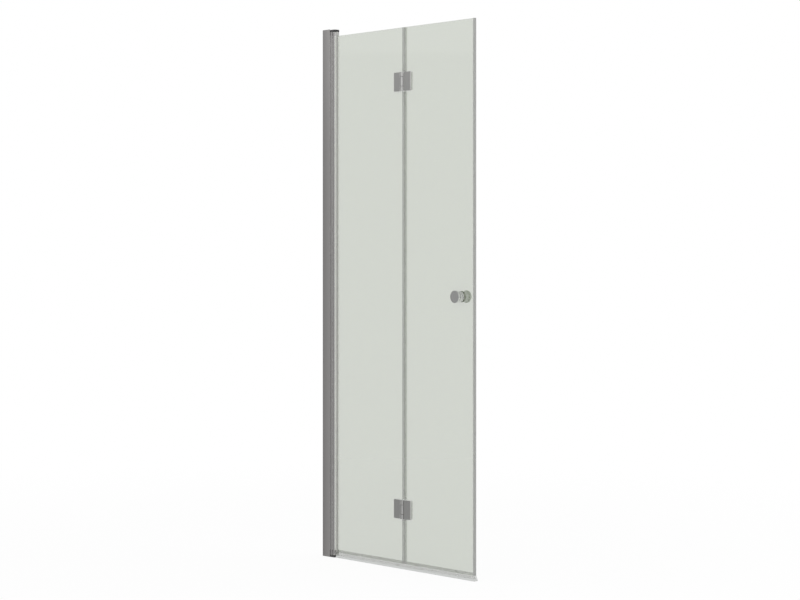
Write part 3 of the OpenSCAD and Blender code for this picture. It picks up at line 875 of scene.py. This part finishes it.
def shaped_ring(radius_at: Callable[[float], float], height: float, count: int) -> Ring:
    """A closed line of points about Z whose radius follows the angle.

    Args:
        radius_at: the radius at an angle.
        height: the place along Z.
        count: how many points it has.

    Returns:
        The points, in order.
    """
    ring = []
    for angle in (2 * math.pi * i / count for i in range(count)):
        radius = radius_at(angle)
        ring.append(Vector((radius * math.cos(angle), radius * math.sin(angle), height)))
    return ring


def skin(rings: Sequence[Ring]) -> tuple[list[Vector], list[list[int]]]:
    """Joins rings into a closed shape, with a flat face on the first and the last.

    Args:
        rings: rings of equal length, from one end to the other.

    Returns:
        The points and the faces.
    """
    count = len(rings[0])
    points = [point for ring in rings for point in ring]
    faces = [list(range(count))[::-1]]
    for row in range(len(rings) - 1):
        for i in range(count):
            j = (i + 1) % count
            a, b = row * count, (row + 1) * count
            faces.append([a + i, a + j, b + j, b + i])
    last = (len(rings) - 1) * count
    faces.append([last + i for i in range(count)])
    return points, faces


class MeshPiece:
    """A piece that is gathered from several closed shapes and becomes one object."""

    def __init__(self, name: str) -> None:
        """Starts an empty piece.

        Args:
            name: the name of the object.
        """
        self.name = name
        self.points: list[Vector] = []
        self.faces: list[list[int]] = []

    def add(self, rings: Sequence[Ring], place: Matrix) -> None:
        """Adds one closed shape.

        Args:
            rings: its rings, in its own frame.
            place: where that frame lies in the row frame.
        """
        points, faces = skin(rings)
        start = len(self.points)
        self.points += [place @ point for point in points]
        self.faces += [[start + i for i in face] for face in faces]

    def build(self, finish: Finish) -> bpy.types.Object:
        """Makes the object, shaded as one where its faces meet at a small angle.

        Args:
            finish: its surface.

        Returns:
            The object, linked to the scene.
        """
        mesh = bpy.data.meshes.new(self.name)
        mesh.from_pydata([tuple(p) for p in self.points], [], self.faces)
        mesh.validate()
        mesh.materials.append(finish.material())
        mesh.shade_smooth()
        mesh.set_sharp_from_angle(angle=SMOOTH_BELOW)
        made = bpy.data.objects.new(self.name, mesh)
        bpy.context.scene.collection.objects.link(made)
        return made


# ---- Fixings ----


class Drive(Enum):
    """The recess that a key or driver turns a screw by."""

    HEX = "hex"
    CROSS = "cross"

    def radius(self, angle: float, size: float) -> float:
        """The outline of the recess.

        Args:
            angle: the angle about the screw's axis.
            size: the width across flats of a hexagon, or the length of a cross.

        Returns:
            The radius of the outline there.
        """
        if self is Drive.HEX:
            step = math.pi / 3
            return size / 2 / math.cos(angle % step - step / 2)
        arm, half_width = size / 2, size / 8
        turn = abs((angle + math.pi / 4) % (math.pi / 2) - math.pi / 4)
        if math.tan(turn) < half_width / arm:
            return arm / math.cos(turn)
        return half_width / math.sin(turn)


@dataclass(frozen=True)
class Screw:
    """A screw along its own -Z, with its head's face at z = 0."""

    shank_d: float
    head_d: float
    head_h: float
    length: float
    drive: Drive
    drive_size: float
    drive_depth: float
    floor_share: float = 0.35
    edge: float = 0.15 * MM
    points: int = 48

    def _recess_ring(self, share: float, more: float, height: float) -> Ring:
        """One outline of the recess.

        Args:
            share: what its radius is multiplied by.
            more: what is then added to its radius.
            height: its place along Z.

        Returns:
            The ring.
        """
        def radius_at(angle: float) -> float:
            """The outline's radius at an angle."""
            return self.drive.radius(angle, self.drive_size) * share + more

        return shaped_ring(radius_at, height, self.points)

    def rings(self) -> list[Ring]:
        """The screw's outline from its tip to the floor of its recess.

        Returns:
            The rings, in order.
        """
        edge, shank, head = self.edge, self.shank_d / 2, self.head_d / 2
        outside = (
            (shank - 2 * edge, -self.length),
            (shank, 2 * edge - self.length),
            (shank, -self.head_h),
            (head, -edge),
            (head - edge, 0.0),
        )
        inside = (
            (1.0, edge, 0.0),
            (1.0, 0.0, -edge),
            (1.0, 0.0, -self.drive_depth),
            (self.floor_share, 0.0, -self.drive_depth - 2 * edge),
        )
        return [
            *(round_ring(radius, height, self.points) for radius, height in outside),
            *(self._recess_ring(*outline) for outline in inside),
        ]


def looking(direction: Vector, at: Vector) -> Matrix:
    """The frame of a screw whose head faces a direction.

    Args:
        direction: where the head's face looks.
        at: the middle of that face.

    Returns:
        The frame.
    """
    return Matrix.Translation(at) @ direction.to_track_quat("Z", "Y").to_matrix().to_4x4()


@dataclass(frozen=True, kw_only=True)
class ScrewSet(ABC):
    """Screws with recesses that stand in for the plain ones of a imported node."""

    node: str
    body: str
    screw: Screw

    @abstractmethod
    def places(self) -> Iterator[Matrix]:
        """The frame of each screw."""

    def build(self) -> bpy.types.Object:
        """Makes the screws as one piece, which moves with its body.

        Returns:
            The piece.
        """
        piece = MeshPiece(self.node + "_detailed")
        for place in self.places():
            piece.add(self.screw.rings(), place)
        made = piece.build(STEEL)
        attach(made, self.body)
        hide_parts(self.node)
        return made


@dataclass(frozen=True, kw_only=True)
class HingeScrews(ScrewSet):
    """The screws that clamp the hinge plates to one glass panel, seen from the shower."""

    plate: str
    screw: Screw = Screw(
        shank_d=5.0 * MM, head_d=9.0 * MM, head_h=2.2 * MM, length=14.5 * MM,
        drive=Drive.HEX, drive_size=3.0 * MM, drive_depth=1.9 * MM,
    )

    def places(self) -> Iterator[Matrix]:
        """The frame of each screw, two in each hinge and equally far from its plate's middle.

        Yields:
            The frames, first those of the lower hinge.
        """
        low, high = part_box(self.node)
        x, head_r = (low.x + high.x) / 2, self.screw.head_d / 2
        for hinge, outer in (("lower_", low.z + head_r), ("upper_", high.z - head_r)):
            plate_low, plate_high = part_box(hinge + self.plate)
            for z in (outer, plate_low.z + plate_high.z - outer):
                yield looking(TO_SHOWER, Vector((x, high.y, z)))


@dataclass(frozen=True, kw_only=True)
class EndScrews(ScrewSet):
    """The countersunk screws in both ends of a profile, which hold its brackets or plugs."""

    def places(self) -> Iterator[Matrix]:
        """The frame of each screw.

        Yields:
            The frames, in pairs: one that looks down, and one that looks up.
        """
        low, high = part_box(self.node)
        x, head_r = (low.x + high.x) / 2, self.screw.head_d / 2
        for y in (low.y + head_r, high.y - head_r):
            yield looking(DOWN, Vector((x, y, low.z)))
            yield looking(UP, Vector((x, y, high.z)))


@dataclass(frozen=True, kw_only=True)
class GrubScrews(ScrewSet):
    """The headless screws under the two knobs, which lock them to their stud."""

    screw: Screw = Screw(
        shank_d=4.0 * MM, head_d=4.0 * MM, head_h=1.0 * MM, length=6.0 * MM,
        drive=Drive.HEX, drive_size=2.0 * MM, drive_depth=1.6 * MM,
    )

    def places(self) -> Iterator[Matrix]:
        """The frame of each screw, whose driven end looks down.

        Yields:
            The frames, first that of the outer knob.
        """
        low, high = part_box(self.node)
        x, radius = (low.x + high.x) / 2, self.screw.head_d / 2
        for y in (low.y + radius, high.y - radius):
            yield looking(DOWN, Vector((x, y, low.z)))


# ---- Sub-assemblies ----

WELD_REACH = 0.002 * MM
SHARP_FROM = math.radians(40)
EASE_SEGMENTS = 2


@dataclass(frozen=True)
class Dressing:
    """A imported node's finish, with the radius that its sharp edges are eased to."""

    node: str
    finish: Finish
    ease: float = 0.0

    def apply(self) -> None:
        """Gives the node its material, and eases its edges where asked."""
        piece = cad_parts[self.node]
        piece.data.materials.clear()
        piece.data.materials.append(self.finish.material())
        if self.ease > 0.0:
            self._ease_edges(piece)

    def _ease_edges(self, piece: bpy.types.Object) -> None:
        """Rounds the sharp edges, as deburring leaves them.

        Args:
            piece: the node's object.
        """
        weld = piece.modifiers.new("weld", "WELD")
        weld.merge_threshold = WELD_REACH
        bevel = piece.modifiers.new("eased_edges", "BEVEL")
        bevel.width = self.ease
        bevel.segments = EASE_SEGMENTS
        bevel.limit_method = "ANGLE"
        bevel.angle_limit = SHARP_FROM
        bevel.use_clamp_overlap = True
        bevel.harden_normals = True


def hinge_metal(side: int) -> Iterator[Dressing]:
    """The dressing of the hinge leaves and clamp plates on one side of the fold.

    Args:
        side: 1 for the first panel and 2 for the second.

    Yields:
        The dressings, first those of the leaves.
    """
    for plate in ("leaf", "clamp_plate"):
        for hinge in ("upper", "lower"):
            yield Dressing(f"{hinge}_{plate}_{side}", CASTING)


class SubAssembly(ABC):
    """One body of the door."""

    body: str

    @abstractmethod
    def dressings(self) -> Sequence[Dressing]:
        """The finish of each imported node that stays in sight."""

    def details(self) -> Sequence[bpy.types.Object]:
        """Makes the pieces that stand in for plain nodes."""
        return ()

    def build(self) -> None:
        """Dresses the body's nodes, adds its details and reports them."""
        for dressing in self.dressings():
            dressing.apply()
            log.info("%s: %s dressed with %s", self.body, dressing.node, dressing.finish.slot)
        for piece in self.details():
            log.info("%s: %s built, %d faces", self.body, piece.name, len(piece.data.polygons))


@dataclass
class WallFrame(SubAssembly):
    """The channel on the wall, its adjusting profile, brackets, pins and threshold."""

    body: str = "wall_frame"
    edge_ease: float = 0.3 * MM
    bracket_ease: float = 0.4 * MM
    bracket_screw: Screw = Screw(
        shank_d=3.0 * MM, head_d=6.0 * MM, head_h=1.5 * MM, length=16.0 * MM,
        drive=Drive.CROSS, drive_size=3.4 * MM, drive_depth=1.1 * MM,
    )

    def dressings(self) -> Sequence[Dressing]:
        """Dresses the wall frame.

        Returns:
            The finish of each of its nodes.
        """
        return (
            Dressing("wall_channel", CHANNEL),
            Dressing("adjusting_profile", PROFILE),
            Dressing("channel_cap", BLACK_PLASTIC, self.edge_ease),
            Dressing("adjusting_screws", STEEL),
            Dressing("screw_covers", GREY_PLASTIC),
            Dressing("top_bracket", BLACK_PLASTIC, self.bracket_ease),
            Dressing("bottom_bracket", FOOT_PLASTIC, self.bracket_ease),
            Dressing("top_pivot_pin", STEEL),
            Dressing("bottom_pivot_pin", STEEL),
            Dressing("threshold_bar", SILL, self.edge_ease),
            Dressing("threshold_end_cap", SILL_CAP, self.edge_ease),
        )

    def details(self) -> Sequence[bpy.types.Object]:
        """Makes the screws of the brackets."""
        screws = EndScrews(node="bracket_screws", body=self.body, screw=self.bracket_screw)
        return (screws.build(),)


@dataclass
class FirstPanel(SubAssembly):
    """The turning stile, its glass, and the hinge leaves that carry the second panel."""

    body: str = "panel_1"
    plug_screw: Screw = Screw(
        shank_d=3.0 * MM, head_d=5.0 * MM, head_h=0.75 * MM, length=16.0 * MM,
        drive=Drive.CROSS, drive_size=2.8 * MM, drive_depth=0.6 * MM,
    )

    def dressings(self) -> Sequence[Dressing]:
        """Dresses the first panel.

        Returns:
            The finish of each of its nodes.
        """
        return (
            Dressing("pivot_stile", PROFILE),
            Dressing("top_stile_plug", GREY_PLASTIC),
            Dressing("bottom_stile_plug", GREY_PLASTIC),
            Dressing("top_pivot_bush", NYLON),
            Dressing("bottom_pivot_bush", NYLON),
            Dressing("glazing_gasket", RUBBER),
            Dressing("glass_panel_1", GLASS),
            Dressing("bottom_seal_1", SEAL),
            *hinge_metal(1),
            Dressing("hinge_gaskets_1", WASHER),
            Dressing("hinge_bushes", NYLON),
        )

    def details(self) -> Sequence[bpy.types.Object]:
        """Makes the screws of the end plugs and of the hinge plates.

        Returns:
            The two pieces.
        """
        return (
            EndScrews(node="plug_screws", body=self.body, screw=self.plug_screw).build(),
            HingeScrews(node="hinge_screws_1", body=self.body, plate="clamp_plate_1").build(),
        )


@dataclass
class SecondPanel(SubAssembly):
    """The folding panel with its hinge leaves, seals and the pair of knobs."""

    body: str = "panel_2"

    def dressings(self) -> Sequence[Dressing]:
        """Dresses the second panel.

        Returns:
            The finish of each of its nodes.
        """
        return (
            *hinge_metal(2),
            Dressing("hinge_gaskets_2", WASHER),
            Dressing("hinge_pins", STEEL),
            Dressing("hinge_washers", BLACK_PLASTIC),
            Dressing("glass_panel_2", GLASS),
            Dressing("fold_seal", FOLD_SEAL),
            Dressing("edge_seal", EDGE_SEAL),
            Dressing("bottom_seal_2", SEAL),
            Dressing("outer_knob", KNOB),
            Dressing("inner_knob", INNER_KNOB),
            Dressing("knob_stud", STEEL),
            Dressing("knob_bush", WASHER),
            Dressing("knob_washers", WASHER),
        )

    def details(self) -> Sequence[bpy.types.Object]:
        """Makes the screws of the hinge plates and the grub screws of the knobs.

        Returns:
            The two pieces.
        """
        return (
            HingeScrews(node="hinge_screws_2", body=self.body, plate="clamp_plate_2").build(),
            GrubScrews(node="knob_set_screws", body=self.body).build(),
        )


# ---- Studio ----


@dataclass(frozen=True)
class Softbox:
    """A large soft lamp aimed at the middle of the door."""

    name: str
    place: Triple
    width: float
    power: float
    mirrored: bool = True

    def build(self, target: Vector) -> None:
        """Makes the lamp.

        Args:
            target: what it points at.
        """
        light = bpy.data.lights.new(self.name, "AREA")
        light.shape = "SQUARE"
        light.size = self.width
        light.energy = self.power
        lamp = bpy.data.objects.new(self.name, light)
        lamp.location = self.place
        lamp.visible_glossy = self.mirrored
        lamp.rotation_euler = (target - lamp.location).to_track_quat("-Z", "Y").to_euler()
        bpy.context.scene.collection.objects.link(lamp)


@dataclass
class Studio:
    """A pale floor and a white room at a plain level, with three soft lamps."""

    floor_half: float = 14.0
    floor_drop: float = 0.5 * MM
    floor_colour: RGB = (0.86, 0.86, 0.86)
    floor_roughness: float = 0.9
    floor_glow: float = 0.93
    glow_near: float = 0.8
    glow_far: float = 3.5
    room_level: float = 0.80
    lamps: tuple[Softbox, ...] = (
        Softbox("left_lamp", (-2.6, -3.0, 3.6), width=3.0, power=20.0),
        Softbox("right_lamp", (3.4, 3.1, 1.9), width=3.0, power=50.0, mirrored=False),
        Softbox("front_lamp", (3.6, -4.6, 3.6), width=4.0, power=60.0),
    )

    def build(self) -> None:
        """Makes the floor, the room and the lamps."""
        self._floor()
        self._room()
        target = sum(CAD_BOX, Vector()) / 2
        for lamp in self.lamps:
            lamp.build(target)
        bpy.context.scene.view_settings.view_transform = "Standard"
        log.info("studio: floor, room and %d lamps built", len(self.lamps))

    @staticmethod
    def _seen(graph: Graph) -> Signal:
        """Tells rays that show the background, straight or mirrored, from the rest.

        Args:
            graph: the tree to add to.

        Returns:
            One for those rays, and zero for the rest.
        """
        camera, glossy, through = (
            graph.add("ShaderNodeLightPath", output=ray)
            for ray in ("Is Camera Ray", "Is Glossy Ray", "Is Transmission Ray")
        )
        return camera.largest(glossy).largest(through)

    @staticmethod
    def _light(graph: Graph, kind: str, level: float) -> Signal:
        """A plain white light.

        Args:
            graph: the tree to add to.
            kind: the type of the node.
            level: its strength, where 1 is white.

        Returns:
            The shader.
        """
        return graph.add(kind, None, {"Color": opaque(WHITE), "Strength": level})

    def _floor(self) -> None:
        """Makes the plain floor, just under the door."""
        half = self.floor_half
        corners = [(-half, -half, 0), (half, -half, 0), (half, half, 0), (-half, half, 0)]
        mesh = bpy.data.meshes.new("floor")
        mesh.from_pydata(corners, [], [(0, 1, 2, 3)])
        floor = bpy.data.objects.new("floor", mesh)
        floor.location.z = -self.floor_drop
        bpy.context.scene.collection.objects.link(floor)
        floor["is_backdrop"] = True
        mesh.materials.append(self._floor_paint())

    def _floor_paint(self) -> bpy.types.Material:
        """Makes a paint that looks white and keeps a soft shadow near the door.

        Returns:
            The floor's material.
        """
        material = bpy.data.materials.new("floor_paint")
        material.use_nodes = True
        graph = Graph(material.node_tree)
        paint = graph.principled({
            "Base Color": opaque(self.floor_colour),
            "Roughness": self.floor_roughness,
            "Specular IOR Level": 0.0,
        })
        length = {"operation": "LENGTH"}
        distance = graph.add("ShaderNodeVectorMath", length, {0: graph.place()}, "Value")
        reach = {
            "Value": distance,
            "From Min": self.glow_near,
            "From Max": self.glow_far,
            "To Min": self.floor_glow,
            "To Max": 1.0,
        }
        fade = graph.add("ShaderNodeMapRange", {"interpolation_type": "SMOOTHSTEP"}, reach)
        glow = self._light(graph, "ShaderNodeEmission", 1.0)
        graph.finish(graph.mix_shader(self._seen(graph) * fade, paint, glow))
        return material

    def _room(self) -> None:
        """Makes the room: white where it is seen, and a plain level where it lights."""
        world = bpy.data.worlds.new("room")
        world.use_nodes = True
        bpy.context.scene.world = world
        graph = Graph(world.node_tree)
        lit = self._light(graph, "ShaderNodeBackground", self.room_level)
        white = self._light(graph, "ShaderNodeBackground", 1.0)
        graph.finish(graph.mix_shader(self._seen(graph), lit, white), "ShaderNodeOutputWorld")


@dataclass(frozen=True)
class PhotoCamera:
    """The camera of the photograph: level, and turned towards the wall side.

    Its heading is in degrees and its sensor in millimetres.
    """

    place: Triple = (5.3965, -4.5337, 1.0653)
    heading: float = 47.785
    lens_px: float = 1944.5
    sensor: float = 36.0
    horizon_px: float = 261.14

    def build(self) -> None:
        """Makes the camera and gives it to the scene."""
        data = bpy.data.cameras.new("photo_camera")
        data.sensor_width = self.sensor
        data.lens = self.lens_px * self.sensor / PHOTO_WIDTH_PX
        data.shift_y = -(PHOTO_HEIGHT_PX / 2 - self.horizon_px) / PHOTO_WIDTH_PX
        camera = bpy.data.objects.new("photo_camera", data)
        camera.location = self.place
        camera.rotation_euler = (math.pi / 2, 0.0, math.radians(self.heading))
        bpy.context.scene.collection.objects.link(camera)
        bpy.context.scene.camera = camera
        log.info("camera: lens %.2f mm, shift %.4f", data.lens, data.shift_y)


def write_sizes() -> None:
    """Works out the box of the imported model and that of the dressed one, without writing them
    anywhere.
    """
    boxes = {"cad": CAD_BOX, "visual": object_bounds()}
    sizes = {name: [list(low), list(high)] for name, (low, high) in boxes.items()}


def main() -> None:
    """Builds the camera, the studio and the three bodies of the door, in that order."""
    logging.basicConfig(level=logging.INFO, format="%(name)s: %(message)s")
    PhotoCamera().build()
    Studio().build()
    for part in (WallFrame(), FirstPanel(), SecondPanel()):
        part.build()
    write_sizes()


if __name__ == "__main__":
    main()
